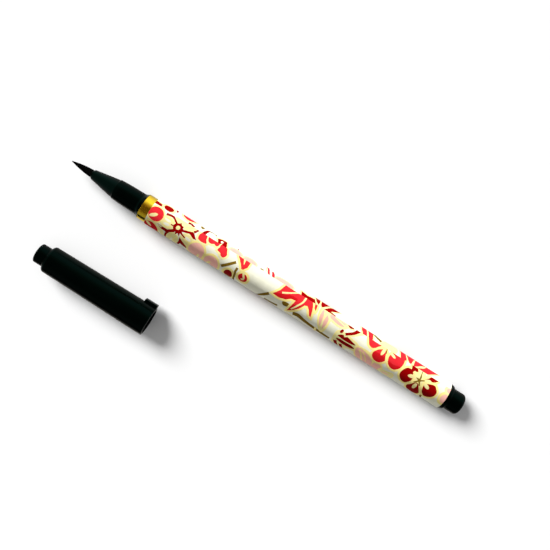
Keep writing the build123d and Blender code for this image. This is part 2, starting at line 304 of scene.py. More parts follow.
# Each coat: what makes its material, and that maker's arguments. The first is bare paper.
coats = {
    "paper": (washi_paper,),
    "ivory": (flat_ink, "ivory_ink", (0.66, 0.58, 0.24), (0.68, 0.62, 0.34)),
    "white": (flat_ink, "white_ink", (0.64, 0.63, 0.50), (0.66, 0.66, 0.56)),
    "gold": (gold_ink, "gold_ink", (0.68, 0.57, 0.20)),
    "pale_gold": (gold_ink, "pale_gold_ink", (0.62, 0.56, 0.25)),
    # A slightly lighter blush pink: painted light where blush shapes lie on the barrel's shaded side; on the
    # underside a pink ink of its own.
    "dusk": (flat_ink, "dusk_pink_ink", (0.70, 0.36, 0.29), (0.72, 0.44, 0.36)),
    "blush": (flat_ink, "blush_ink", (0.62, 0.32, 0.26), (0.63, 0.39, 0.32)),
    "coral": (flat_ink, "coral_ink", (0.56, 0.015, 0.022), (0.60, 0.032, 0.038)),
    # The darker coral: painted shade where coral shapes lie on the barrel's shaded side; on the underside it
    # is a red ink of its own.
    "scarlet": (flat_ink, "scarlet_ink", (0.45, 0.005, 0.009), (0.48, 0.014, 0.016)),
    "crimson": (flat_ink, "crimson_ink", (0.21, 0.0004, 0.0005), (0.25, 0.0012, 0.0012)),
    # A slightly darker crimson: painted shade where crimson shapes lie on the barrel's shaded side;
    # elsewhere a dark red ink of its own.
    "maroon": (flat_ink, "maroon_ink", (0.19, 0.0004, 0.0005), (0.22, 0.0012, 0.0012)),
    "brown": (flat_ink, "brown_ink", (0.150, 0.085, 0.006), (0.19, 0.125, 0.02)),
}


# ---- drawing on the sheet
# The sheet is drawn flat in millimetres, as (along, across): along from the edge beside the
# gold ring, across from the lap seam. It is then rolled round the barrel tube.

paper_low, paper_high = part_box("washi_wrap")
sheet_radius_mm = (paper_high.z - paper_low.z) / 2 / MM
sheet_length_mm = (paper_high.x - paper_low.x) / MM
sheet_girth_mm = 2 * math.pi * sheet_radius_mm
tube_low, tube_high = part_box("barrel_tube")
sheet_bore_mm = (tube_high.z - tube_low.z) / 2 / MM + 0.01

coat_names = list(coats)
prints = []


def wander(points, reach_mm=0.07):
    """Shifts each point a little, the same way for the same place, like a hand-cut stencil's edge."""
    grain_mm = 0.9
    aside = Vector((9.3, -1.5, -8.0))
    moved = []
    for along, across in points:
        spot = Vector((along / grain_mm, across / grain_mm, 3.1))
        shift, other_shift = noise.noise(spot), noise.noise(spot + aside)
        moved.append((along + shift * reach_mm, across + other_shift * reach_mm))
    return moved


def resampled(corners, closed):
    """Points along straight sides, about one step apart."""
    step_mm = 0.4
    points = []
    count = len(corners) if closed else len(corners) - 1
    for i in range(count):
        (x0, y0), (x1, y1) = corners[i], corners[(i + 1) % len(corners)]
        pieces = max(1, round(math.hypot(x1 - x0, y1 - y0) / step_mm))
        points += [(x0 + (x1 - x0) * k / pieces, y0 + (y1 - y0) * k / pieces) for k in range(pieces)]
    return points if closed else points + [corners[-1]]


def smoothed(knots, closed=False, per_span=6):
    """A Catmull-Rom curve through the knots."""
    ring = [Vector(k) for k in knots]
    if closed:
        padded = [ring[-1], *ring, ring[0], ring[1]]
    else:
        padded = [ring[0] * 2 - ring[1], *ring, ring[-1] * 2 - ring[-2]]
    points = []
    for before, start, end, after in zip(padded, padded[1:], padded[2:], padded[3:]):
        for k in range(per_span):
            t = k / per_span
            square = (2 * before - 5 * start + 4 * end - after) * t**2
            cube = (3 * start - before - 3 * end + after) * t**3
            points.append(0.5 * (2 * start + (end - before) * t + square + cube))
    if not closed:
        points.append(ring[-1])
    return [tuple(p) for p in points]


def turned(points, centre, degrees):
    cosine, sine = math.cos(math.radians(degrees)), math.sin(math.radians(degrees))
    return [(centre[0] + x * cosine - y * sine, centre[1] + x * sine + y * cosine) for x, y in points]


def outwards(centre, distance, degrees):
    """The point at a distance from a centre, in a direction on the sheet."""
    return turned([(distance, 0)], centre, degrees)[0]


def grown(outline, width):
    """The outline pushed outwards by a width, as for a rim round a printed shape."""
    doubled_area = sum(x0 * y1 - x1 * y0 for (x0, y0), (x1, y1) in zip(outline, outline[1:] + outline[:1]))
    side = 1 if doubled_area > 0 else -1
    hairpin, mitre_limit = 0.3, 0.6
    points = []
    for i, (x, y) in enumerate(outline):
        before, after = Vector(outline[i - 1]), Vector(outline[(i + 1) % len(outline)])
        first = (Vector((x, y)) - before).normalized()
        second = (after - Vector((x, y))).normalized()
        bend = first + second
        if bend.length < hairpin:
            bend = first
        bend.normalize()
        reach = width / max(mitre_limit, abs(bend.dot(first)))
        points.append((x + bend.y * side * reach, y - bend.x * side * reach))
    return points


def lay(name, outline):
    prints.append((coat_names.index(name), outline))


def area(name, outline):
    lay(name, wander(outline))


def areas(name, outlines, rim, rim_coat="gold"):
    """Shapes of one flower or leaf, each over a wider rim. Every rim goes down before the first fill."""
    outlines = [wander(outline) for outline in outlines]
    for outline in outlines:
        lay(rim_coat, grown(outline, rim))
    for outline in outlines:
        lay(name, outline)


def oval(centre, long_radius, short_radius=None, turn=0.0, count=26):
    short_radius = short_radius or long_radius
    steps = [2 * math.pi * k / count for k in range(count)]
    return turned([(long_radius * math.cos(a), short_radius * math.sin(a)) for a in steps], centre, turn)


def patch(*corners):
    """A shape with soft corners."""
    return smoothed(corners, closed=True, per_span=4)


def blade(*corners):
    """A shape with straight sides and sharp corners."""
    return resampled(corners, closed=True)


def lens(start, end, width, bow=0.0):
    """A leaf shape between two points, widest in its middle, bowed sideways if asked."""
    start, end = Vector(start), Vector(end)
    run = end - start
    side = Vector((-run.y, run.x)).normalized()
    count = 12
    edge = []
    for sign, steps in ((1, range(count)), (-1, range(count, 0, -1))):
        for k in steps:
            lift = math.sin(math.pi * k / count) * (sign * width / 2 + bow)
            edge.append(tuple(start + run * (k / count) + side * lift))
    return edge


def line(name, knots, width, end_width=None):
    """A brush line that may narrow towards its end."""
    path = smoothed(knots) if len(knots) > 2 else resampled(knots, closed=False)
    end_width = end_width or width
    left, right = [], []
    for i, point in enumerate(path):
        before, after = Vector(path[max(0, i - 1)]), Vector(path[min(len(path) - 1, i + 1)])
        run = (after - before).normalized()
        half = (width + (end_width - width) * i / (len(path) - 1)) / 2
        left.append((point[0] - run.y * half, point[1] + run.x * half))
        right.append((point[0] + run.y * half, point[1] - run.x * half))
    lay(name, wander(left + right[::-1], 0.05))


# ---- motifs used more than once


def stamen(centre, length, width, turn, name="ivory"):
    lay(name, wander(oval(centre, length / 2, width / 2, turn, count=16), 0.05))


def plum_blossom(centre, size, name, turn):
    """Round petals about a centre, a cream oval on each and fine brown filaments between."""
    places = [turn + 72 * k for k in range(5)]
    petals = [
        oval(outwards(centre, size * 0.58, place), size * 0.42, size * 0.40, place) for place in places
    ]
    areas(name, petals, 0.6)
    for place in places:
        stamen(outwards(centre, size * 0.42, place), size * 0.38, size * 0.17, place)
        line("brown", [centre, outwards(centre, size * 0.30, place + 36)], 0.32, 0.2)
    lay("gold", oval(centre, size * 0.11, count=14))


def cream_blossom(centre, size, turn):
    """Pale petals with gold lines, round a dark red star with a cream eye."""
    places = [turn + 72 * k for k in range(5)]
    petals = [
        oval(outwards(centre, size * 0.62, place), size * 0.40, size * 0.36, place) for place in places
    ]
    areas("white", petals, 0.5)
    for place in places:
        near, far = outwards(centre, size * 0.4, place), outwards(centre, size * 0.85, place)
        line("pale_gold", [near, far], 0.5, 0.3)
    star(centre, size * 0.36, size * 0.17, turn + 36)


def star(centre, tip, notch, turn):
    corners = []
    for k in range(5):
        corners.append(outwards(centre, tip, turn + 72 * k))
        corners.append(outwards(centre, notch, turn + 72 * (k + 0.5)))
    area("crimson", blade(*corners))
    lay("ivory", oval(centre, notch * 0.6, count=14))


def maple_leaf(centre, size, name, turn):
    """Pointed lobes fanned out from the stalk, each with a pale vein slit."""
    lobe_angle = 124 / 3
    tips = [outwards(centre, size * (1 - 0.11 * abs(k)), turn + lobe_angle * k) for k in range(-2, 3)]
    areas(name, [lens(centre, tip, size * 0.36) for tip in tips], 0.55)
    for tip in tips:
        start, end = Vector(centre), Vector(tip)
        line("pale_gold", [tuple(start.lerp(end, 0.22)), tuple(start.lerp(end, 0.78))], 0.42, 0.2)


def bud(centre, size, name, turn):
    areas(name, [oval(centre, size, size * 0.82, turn, count=18)], 0.6)
    start, end = turned([(-size * 1.1, 0), (size * 0.35, 0)], centre, turn)
    line("pale_gold", [start, end], size * 0.36, size * 0.2)


def twig(knots, width=0.75):
    line("brown", knots, width, width * 0.85)


# ---- the side of the sheet beside the lap seam, from the ring to the tail


def coral_blossom_at_ring():
    areas("coral", [oval((2.5, 3.2), 2.75, 2.6)], 0.5)
    # The lower blossom lies in shade: coral print, painted darker as painted shade.
    areas("scarlet", [oval((2.6, 9.3), 3, 2.75)], 0.5)
    stamen((1.9, 3.9), 3.2, 1.25, -36)
    stamen((1.7, 8), 2.6, 1.1, 34)
    line("ivory", [(0.5, 6.2), (2.4, 6.2), (4.8, 6.1), (6.4, 6.2)], 0.5)


def great_cream_blossom():
    """The pale flower whose gaps are drawn as the arms of a dark red star."""
    petals = [
        oval((7.5, 3.6), 2.5, 1.75, 6), oval((11.2, -0.4), 2.4, 1.9, 80), oval((15.4, 0.6), 2.2, 1.5, -30),
        oval((16.3, 5.6), 2.3, 2, 20), oval((11.1, 8.4), 2.2, 2.7, 0), oval((6, 9.3), 1.7, 2.2, 0),
    ]
    areas("ivory", petals, 0.55, "pale_gold")
    hearts = (((7.1, 2.8), 10), ((7.4, 4.3), -12), ((11.2, 9.1), 90), ((16.4, 4.8), 10), ((6.1, 9.3), 85))
    for petal_heart, turn in hearts:
        stamen(petal_heart, 2.4, 1, turn, "white")
    for knots in (
        [(6.2, 2.2), (7.8, 2.3), (9.6, 2.7)],
        [(6.2, 4.8), (7.8, 5.1), (9.4, 4.7)],
        [(10.4, 5.8), (10, 7.8), (9.3, 10.2)],
        [(12.7, 6), (11.9, 8.1), (11.1, 9.2)],
        [(14.5, 5.1), (16.4, 5.7), (18.2, 5.8)],
        [(13.7, 1.6), (14.9, 1), (16.4, 0.3)],
    ):
        line("gold", knots, 0.45, 0.3)
    for knots, width, end_width in (
        ([(10.8, 2.5), (9.1, 1.3), (8.1, 0.8), (6.9, 0.9), (5.6, 1.2)], 0.65, 0.95),
        ([(13.1, 3.3), (14.9, 2.8), (16.5, 2.2)], 0.8, 0.8),
        ([(17, 1.6), (17.5, 0.9), (18, -0.1)], 0.9, 0.7),
        ([(8.8, 6.6), (8.6, 8.4), (8.6, 10.6)], 0.85, 0.6),
        ([(13, 4.1), (13.9, 4.5), (15.3, 5)], 0.7, 0.45),
        ([(10.2, 3.5), (8.8, 3.5)], 0.5, 0.35),
    ):
        line("crimson", knots, width, end_width)
    area("crimson", blade((15.2, 2.8), (16.6, 1.6), (17.3, 1.9), (19, 3.5), (17.9, 3.7), (16.3, 3)))
    area("crimson", blade(
        (4.6, 5.7), (6.6, 5.8), (8.6, 5.7), (10.4, 4.4), (11.3, 5.2), (9.6, 6.3), (9.2, 7.2), (8.2, 7),
        (6.7, 6.9), (4.8, 6.3),
    ))
    area("crimson", blade(
        (13.6, 5.7), (14.5, 6.4), (15.8, 7.1), (17.4, 8.1), (17.3, 8.9), (15.5, 8.5), (14.6, 8.2),
        (14.1, 9.8), (13.3, 9.8), (13.8, 7.6),
    ))
    area("crimson", oval((11.5, 3.3), 1.8, 1.68))
    area("crimson", blade(
        (11.6, 1.1), (12.2, 2), (13, 1.8), (13.1, 2.6), (14, 3), (13.4, 3.6), (13.9, 4.3), (13, 4.4),
        (13.2, 5.7), (12.3, 4.9), (11.7, 5.9), (11.3, 4.9), (10.3, 5), (10.1, 4.1), (9.5, 3.3), (10.1, 2.8),
        (10.1, 1.9), (11, 2.1),
    ))
    area("ivory", oval((11.5, 3.2), 0.74, 0.74, count=18))


def coral_petals_under_seam():
    petals = [
        patch((19.2, 0.5), (20.2, -0.7), (21.5, 0), (22, 1.5), (22.6, 2.7), (21, 3), (19.5, 2.8), (19, 1.8)),
        patch(
            (22.2, -0.1), (24.4, -0.7), (26.4, -0.3), (26.7, 0.8), (26, 1.6), (25, 1.3), (24.1, 1.8),
            (22.9, 1.6),
        ),
        patch(
            (27.2, 0.2), (28.3, -0.7), (29.6, 0), (30.3, 1.3), (30.8, 2.5), (30, 3.7), (29, 3.5),
            (28.4, 2.8), (27, 2.4), (27.2, 1.3),
        ),
    ]
    areas("coral", petals, 0.75, "pale_gold")
    area("white", patch((23.6, 2.6), (25.3, 2.7), (27.3, 3.6), (26.1, 4.1), (24.4, 4.5), (23.6, 3.6)))


def dusk_blossom():
    # Painted light: blush petals on the shaded side, printed in a lighter pink.
    areas("dusk", [oval((20.9, 7.3), 3.05, 3.5), oval((27.2, 8.5), 2.9, 3.4)], 0.8)
    for knots, width in (
        ([(24.1, 5.8), (24, 8.2), (23.8, 10.8)], 0.9),
        ([(22.2, 7.9), (22, 9.2), (22, 10.8)], 0.8),
        ([(26.9, 7.8), (26.3, 9.2), (25.6, 10.8)], 0.9),
    ):
        line("gold", knots, width)


def twigs_and_buds():
    twig([(30.9, 6.7), (34.8, 2.6)], 1.15)
    # This bud lies in shade: crimson print, painted darker as painted shade.
    areas("maroon", [oval((34.3, 8.4), 1.65, 2.1, count=20)], 0.85)
    for offset in (-0.8, -0.1, 0.6):
        line("brown", [(34.3 + offset, 9.3), (34.3 + offset * 1.2, 11)], 0.3)
    twig([(36.2, 4), (36.2, 5.4), (36.5, 6.8), (36.9, 10.6)], 0.85)
    petals = blade(
        (33.9, -0.3), (36.3, -0.3), (37.5, 2.1), (37.4, -0.3), (39.2, -0.3), (39.1, 2.2), (38.2, 3.5),
        (37.5, 3.6), (36.7, 2.5),
    )
    areas("coral", [petals], 0.7)
    # This blossom lies in shade: coral print, painted darker as painted shade.
    areas("scarlet", [oval((39.5, 6.2), 1.75, 1.65)], 0.9)
    line("ivory", [(38.9, 4), (39.3, 5.1), (39.9, 6.1), (39.7, 6.8), (39.1, 6.8)], 0.75, 0.6)
    twig([(50.1, 5.7), (48.8, 7.2), (47.6, 8.8), (46.6, 10.8)], 1.15)
    line("brown", [(49.5, 9.7), (51.5, 9.5), (53.3, 9.2), (54.8, 8.7)], 1.2, 1.2)


def great_maple_leaf():
    lobes = [
        blade(
            (51.1, 4.9), (52.8, 2.6), (53.7, -0.4), (60.1, -1), (60.3, 1.8), (59.6, 2.8), (57.5, 3.2),
            (56.1, 4.4), (53.5, 5.1),
        ),
        blade(
            (58.4, 8.1), (58.8, 5.5), (59.3, 2.7), (59.9, -1), (63.8, -1), (63.5, 1.5), (62.7, 2.7),
            (61.9, 4.3), (60.6, 5.9),
        ),
        blade(
            (62.8, -1), (64.7, -0.1), (65.7, 1.9), (66.7, 5.1), (65.9, 4.8), (64.7, 3.1), (63.7, 2.3),
            (62.9, 2.6),
        ),
        blade((65.6, -0.4), (66.7, -0.2), (67, 2.3), (66.1, 1.5)),
    ]
    areas("coral", lobes, 0.8)
    # Painted shade: the lower parts of the lobes, towards the shaded side, in a darker red.
    area("scarlet", blade(
        (51.9, 4.2), (57.6, 1.9), (59.7, 2), (59.6, 2.8), (57.5, 3.2), (56.1, 4.4), (53.5, 5.1), (51.1, 4.9),
    ))
    area("scarlet", blade((58.4, 8.1), (59, 4.6), (60.5, 3.8), (62.2, 3.5), (61.9, 4.3), (60.6, 5.9)))
    line("pale_gold", [(53.8, 3), (55.8, 1.9), (59, -0.2)], 0.65, 0.4)
    line("pale_gold", [(59.4, 6.4), (60.6, 4.2), (61.7, 2.1), (62, -0.3)], 0.5, 0.7)


def branch_below_leaf():
    area("brown", patch((55.5, 5.6), (56.6, 5), (58, 5.2), (58.2, 6.2), (56.8, 6.8), (55.9, 6.5)))
    line("brown", [(60.7, 7.7), (62.8, 7.2), (65.7, 7.9), (70.2, 8.5), (76.2, 9)], 1.75, 1.5)
    line("gold", [(70.2, 7.4), (70.5, 10.8)], 0.8)


def pink_leaves():
    leaf = patch((68.8, -0.6), (68.8, 2.6), (70.2, 5.4), (72, 7.6), (72.8, 6.6), (72.8, 3.2), (72.5, -0.6))
    areas("pale_gold", [leaf], 0.5)
    area("blush", lens((69.3, -0.5), (70.9, 6.1), 1.25, 0.35))
    area("blush", lens((71.5, 0), (72.2, 6.6), 1.35))
    blade_leaf = patch(
        (72.2, 0.3), (74.4, -0.1), (76.6, 0.3), (79.4, 0.5), (78.3, 1.7), (76.5, 2.1), (74.3, 1.8),
        (72.6, 1.4),
    )
    areas("blush", [blade_leaf], 0.7, "pale_gold")
    line("pale_gold", [(74, 0.2), (76.8, 0.9), (78.7, 1.3)], 0.45)


def striped_leaf():
    ground = patch(
        (77.5, 3.6), (77.2, 7.6), (78.4, 10.6), (82.5, 10.6), (82.4, 8.1), (86.3, 6.9), (85.9, 4.7),
        (83, 3.9),
    )
    areas("pale_gold", [ground], 0.35)
    # Painted shade: crimson stripes on the shaded side, painted in a darker red, down to the two strokes
    # below.
    area("maroon", patch(
        (78, 5.1), (79.2, 4.2), (81.2, 4), (83.2, 4.4), (85, 5), (83.4, 5.5), (80.9, 5.6), (78.7, 5.5),
    ))
    area("maroon", patch(
        (78, 6.4), (79.3, 6), (81.5, 6), (83.5, 5.9), (85.4, 6.3), (84.1, 7.1), (81.4, 7.4), (78.9, 7.1),
    ))
    line("maroon", [(78.1, 7.7), (78.8, 8.9), (79.9, 10.8)], 1.35)
    line("maroon", [(80.4, 8), (81.1, 9.2), (81.8, 10.8)], 1.25)
    line("pale_gold", [(79.8, 4.1), (82.6, 2.1), (85.5, -0.3)], 1.3)
    line("crimson", [(80, 3.5), (81.7, 2.3), (82.6, 1.5)], 0.95, 1.05)
    area("crimson", blade((82.7, -0.1), (84.6, -0.1), (83.2, 1.6), (82.4, 2.2), (81.8, 1.5), (82.3, 0.9)))
    line("pale_gold", [(78.4, 0.6), (80.5, 1), (82.1, 0.5)], 0.5)
    line("crimson", [(79.4, -0.1), (80.5, 0.4), (81.5, 0)], 0.9)
    area("crimson", oval((78.4, 3.3), 0.55, 0.8, 20, count=12))


def dusk_blossom_at_tail():
    petals = [
        patch((85.9, 5.2), (89.2, 5.1), (92.5, 6.5), (93.7, 8.8), (93.8, 11.1), (89.8, 11.4), (86.8, 8.4)),
        patch((93.8, 6.6), (96.5, 6.7), (96.6, 8.8), (96.2, 11.2), (94.3, 11)),
    ]
    # Painted light: blush petals on the shaded side, printed in a lighter pink, and so is the leaf after the
    # rim.
    areas("dusk", petals, 0.6)
    areas("pale_gold", [patch((96.7, 8.2), (99.4, 7.4), (101.7, 7.1), (101.4, 11.1), (97.8, 11))], 0.3)
    area("dusk", lens((97.2, 9.1), (101.1, 8.3), 0.8))
    line("gold", [(87, 5.6), (88.7, 7.3), (90.4, 10.8)], 0.6)
    line("gold", [(88.3, 5.6), (90, 6.8), (91.4, 8.8)], 0.4)
    line("gold", [(85.9, 4.7), (89.3, 4.4), (91.2, 4.7)], 0.5)


def red_blossom_beside_seam():
    petals = [
        patch((87.9, -0.7), (88.5, 1.7), (89.6, 2.5), (90.8, 2.4), (91.9, 1.3), (93.1, -0.7)),
        patch(
            (93.1, 1.4), (94.6, 0.6), (95.5, 1.1), (96.2, 2.4), (96.5, 3.8), (96, 4.8), (95, 5.7), (93.9, 6),
            (92.7, 5.7), (91.7, 4.9), (91.4, 3.8), (92, 2.4),
        ),
        patch(
            (97, 1.3), (98.5, -0.7), (102, -0.7), (102.6, 1.7), (102, 3.7), (100.7, 5), (99.3, 5.1),
            (97.9, 4.3), (97.1, 2.8),
        ),
    ]
    areas("coral", petals, 0.75)
    # Painted shade: the lower halves of the petals, towards the shaded side, in a darker red.
    area("scarlet", patch(
        (91.5, 3.4), (93.8, 2.9), (96.3, 3.4), (95.9, 4.8), (95, 5.5), (93.9, 5.9), (92.7, 5.6), (91.7, 4.8),
    ))
    area("scarlet", patch(
        (97.4, 3.4), (99.7, 3.6), (102.1, 3), (102, 3.8), (100.7, 4.9), (99.3, 5), (98, 4.3),
    ))
    line("gold", [(95.5, 0.3), (96.2, 2.6), (97.2, 4.7)], 0.75)
    stamen((94.4, 1.6), 3, 1.15, 98)
    stamen((97.9, 0.9), 2.7, 1, 22)
    line("brown", [(95.1, -0.1), (95.6, 1.7)], 0.45, 0.3)


def crimson_blossom():
    heart = (110.2, 3.5)
    petals = [
        patch(
            (104.1, 2.1), (105.7, 1.5), (107, 2.4), (107.8, 4.6), (107, 6.6), (105.5, 7.2), (103.8, 6.1),
            (103.1, 4.3),
        ),
        patch(
            (109.5, 4.6), (110.8, 4.9), (112.6, 7.4), (112.3, 9.4), (110.5, 10.8), (108.4, 9.5),
            (107.6, 7.5), (108.5, 6),
        ),
        patch(
            (112.7, 3.3), (115.5, 2.1), (117, 3.1), (117.6, 4.4), (116.9, 6.3), (114.7, 7.7), (113.3, 6.6),
            (112.5, 4.8),
        ),
        patch((111.7, 2.4), (112.9, 0.7), (114.3, -0.7), (116.3, -0.7), (115.7, 0.8), (113.9, 1.8)),
        patch((105.7, -0.7), (108.1, -0.7), (108.5, 0.9), (107.6, 1.5), (106.2, 2.1), (105.7, 0.8)),
    ]
    lay("pale_gold", oval(heart, 3.4, 3))
    areas("crimson", petals, 0.75)
    # Painted shade: the lower petals, on the shaded side, in a darker red.
    area("maroon", patch(
        (107.7, 7.4), (109.9, 6.8), (112.5, 7.4), (112.3, 9.3), (110.5, 10.6), (108.5, 9.4),
    ))
    area("maroon", patch((112.9, 5.4), (115.1, 5.2), (117.4, 4.8), (116.8, 6.2), (114.7, 7.6), (113.2, 6.5)))
    line("gold", [(107, 7.1), (108, 5.7), (109.5, 4.1)], 0.8)
    line("gold", [(110.7, 4.1), (111.9, 5.7), (113.3, 7.8)], 0.85)
    for end in ((107.2, 2.2), (109.8, -0.2), (111.9, 2.5), (108.8, 5), (111.2, 5.1)):
        line("brown", [heart, end], 0.62, 0.4)
    for spot, turn in (
        ((107.1, 3.6), -20), ((109.9, 6.1), 92), ((113.3, 3.8), 24), ((113, 2.1), -16),
        ((110.6, 0.6), 88), ((108.2, 2.2), 28), ((108.8, 0.4), 60), ((112.3, 0.5), -52),
    ):
        stamen(spot, 2.6, 1.3, turn)
    area("brown", oval(heart, 0.6, 0.5, count=12))
    twig([(113.8, 8.1), (114.4, 10.6)], 0.8)


def buds_at_tail():
    # Painted light: a blush bud towards the shaded side, printed in a lighter pink.
    areas("dusk", [oval((120.9, 4.4), 1.4, 1.75, count=18)], 0.95)
    areas("blush", [oval((121.2, 0.9), 1.1, 0.9, count=14)], 0.8, "pale_gold")


# ---- the other long edge of the sheet, up to the seam


def far_edge_at_ring():
    areas("crimson", [patch((-0.5, 29.9), (2.4, 30), (2.8, 31.1), (-0.3, 31.3))], 0.4, "pale_gold")
    areas("crimson", [oval((5.1, 29.9), 1.85, 1.55)], 0.8, "pale_gold")
    area("crimson", patch((7.1, 27), (8.2, 27), (8.3, 29.2), (7.8, 29.2)))
    areas("coral", [oval((12.8, 27.3), 2.7, 2.5)], 0.8, "pale_gold")
    line("maroon", [(13.5, 30.9), (14.7, 30.7), (16, 31.2)], 0.9)
    area("brown", patch((17.6, 28), (19, 28), (19, 29.4), (18.1, 29.6)))
    line("crimson", [(20, 31.5), (20.3, 30.2), (21, 28.4), (22.9, 27.2)], 1.45, 0.8)
    line("brown", [(21, 28.1), (22.4, 27.6), (24.2, 28)], 0.8)
    line("brown", [(23.5, 27.2), (23.9, 29)], 0.4)
    legs = blade(
        (24.9, 29.6), (26.4, 28.4), (28.2, 28), (29.3, 31.5), (27.4, 31.5), (27.1, 30.7), (26.7, 31.5),
        (25.8, 31.5),
    )
    areas("crimson", [legs], 0.6, "pale_gold")
    lay("white", oval((26.9, 30.1), 0.5, 0.6, count=12))
    line("maroon", [(32.9, 27.6), (33, 29.2)], 0.45)


def far_edge_pale_run():
    for start, end in ((30.5, 35.1), (36.3, 41.1), (49.6, 56.1)):
        middle = (start + end) / 2
        petal = patch((start, 31.2), (start + 0.6, 29.7), (middle, 29.3), (end - 0.5, 29.8), (end, 31.2))
        areas("blush", [petal], 0.4, "pale_gold")
    line("coral", [(45, 27), (45.7, 29.2), (46.6, 31.4)], 1, 0.75)
    line("coral", [(47.3, 28.7), (47.9, 30), (48.4, 31.4)], 0.9, 1.1)
    line("pale_gold", [(44.5, 28.6), (45.3, 30.7)], 0.5)
    line("brown", [(43, 31), (44.3, 30.9)], 0.5)


def far_edge_maple_leaf():
    lobes = [
        blade((59.3, 29.4), (62, 29.9), (64.8, 29.4), (65.9, 31.5), (63, 31.4), (59.9, 31.5)),
        blade((64.5, 27), (66.9, 27), (67, 29.7), (66.7, 31), (65.6, 30)),
        blade((67.4, 27), (71.2, 27), (69.8, 29.3), (68.2, 31.2), (67.5, 30)),
        blade((69.2, 31.5), (70.4, 29.7), (72.4, 27), (75.7, 27), (73.5, 29.4), (72, 30.3), (71.7, 31.5)),
    ]
    areas("crimson", lobes, 0.6, "pale_gold")
    line("crimson", [(71.5, 31), (74, 31.2)], 0.8, 0.5)


def far_edge_coral_leaves():
    lobes = [
        blade((84, 27), (85.9, 27), (86.3, 29.6), (86.8, 31.4), (85.2, 31.4), (84.2, 29.6)),
        blade((86.5, 27), (88.4, 27), (88.9, 29.4), (89.2, 31.4), (87.5, 31.4), (87, 29.6)),
    ]
    areas("coral", lobes, 0.6, "pale_gold")
    line("brown", [(88.7, 27.2), (90.3, 28.7), (92.5, 29.8)], 1.4)
    leaf = patch((92.7, 31.3), (94, 28), (96.4, 27), (98.5, 28.2), (97.8, 31.3))
    areas("ivory", [leaf], 0.5, "pale_gold")
    lobes = [
        patch((100.1, 26.7), (102, 26.7), (102.4, 29), (103, 31.4), (100.9, 31.4), (100.2, 29.4)),
        patch((102.5, 26.7), (106.1, 26.7), (105.4, 29.2), (104.8, 31.4), (103.4, 30.2)),
        patch((106.9, 26.7), (111.5, 26.7), (109.4, 28.8), (106.1, 31.4)),
        patch((111.8, 26.7), (116.3, 26.7), (114.6, 29), (111.4, 31.5), (107.8, 31.5), (110, 29.6)),
    ]
    areas("coral", lobes, 0.55, "pale_gold")


# ---- the side that lies underneath: simpler flowers in the same inks, set out in the same rhythm


def underside():
    across = [sheet_girth_mm * share for share in (0.43, 0.53, 0.63, 0.72)]
    maple_leaf((5.5, across[0]), 6.2, "coral", turn=60)
    plum_blossom((14.0, across[2]), 6.6, "crimson", turn=12)
    cream_blossom((24.5, across[1]), 6.4, turn=40)
    bud((31.5, across[3]), 1.7, "scarlet", turn=70)
    twig([(29.0, across[0]), (33.0, across[0] + 1.6), (37.5, across[0] + 1.2)])
    plum_blossom((39.5, across[2]), 5.6, "dusk", turn=30)
    maple_leaf((46.5, across[1] + 1.5), 6.8, "scarlet", turn=-70)
    bud((50.5, across[0]), 1.5, "coral", turn=-30)
    twig([(52.0, across[3]), (56.0, across[3] - 1.6), (60.5, across[3] - 1.0)])
    cream_blossom((58.5, across[1]), 6.8, turn=5)
    plum_blossom((70.5, across[2]), 6.0, "coral", turn=50)
    bud((76.5, across[1] - 1.0), 1.6, "maroon", turn=20)
    maple_leaf((80.5, across[2] + 2.0), 6.4, "crimson", turn=-110)
    plum_blossom((91.0, across[1]), 6.4, "dusk", turn=10)
    twig([(97.0, across[0] - 0.5), (100.5, across[0] + 1.6), (104.5, across[0] + 2.2)])
    plum_blossom((102.5, across[3]), 5.4, "scarlet", turn=28)
    cream_blossom((113.0, across[1] + 0.5), 6.2, turn=62)
    bud((119.0, across[3]), 1.4, "coral", turn=110)


def print_sheet():
    for motif in (
        underside, great_cream_blossom, coral_blossom_at_ring, dusk_blossom, coral_petals_under_seam,
        twigs_and_buds, branch_below_leaf, great_maple_leaf, pink_leaves, striped_leaf, dusk_blossom_at_tail,
        red_blossom_beside_seam, crimson_blossom, buds_at_tail, far_edge_at_ring, far_edge_pale_run,
        far_edge_maple_leaf, far_edge_coral_leaves,
    ):
        motif()


# ---- rolling the sheet

seam_from_top_mm = -3.76
lap_rise_mm = 0.10
lap_run_mm = 3.2
cells_along = 61
cells_round = 72
same_place_mm = 1e-3
merge_mm = 1e-4


def inside(outline, spots):
    """Which spots lie inside an outline, counting how often it winds round each."""
    sx, sy = np.array(outline).T[:, :, None]
    ex, ey = np.roll(sx, -1), np.roll(sy, -1)
    px, py = spots.T
    turn = (ex - sx) * (py - sy) - (px - sx) * (ey - sy)
    upward = (sy <= py) & (ey > py) & (turn > 0)
    downward = (sy > py) & (ey <= py) & (turn < 0)
    return upward.sum(0) != downward.sum(0)


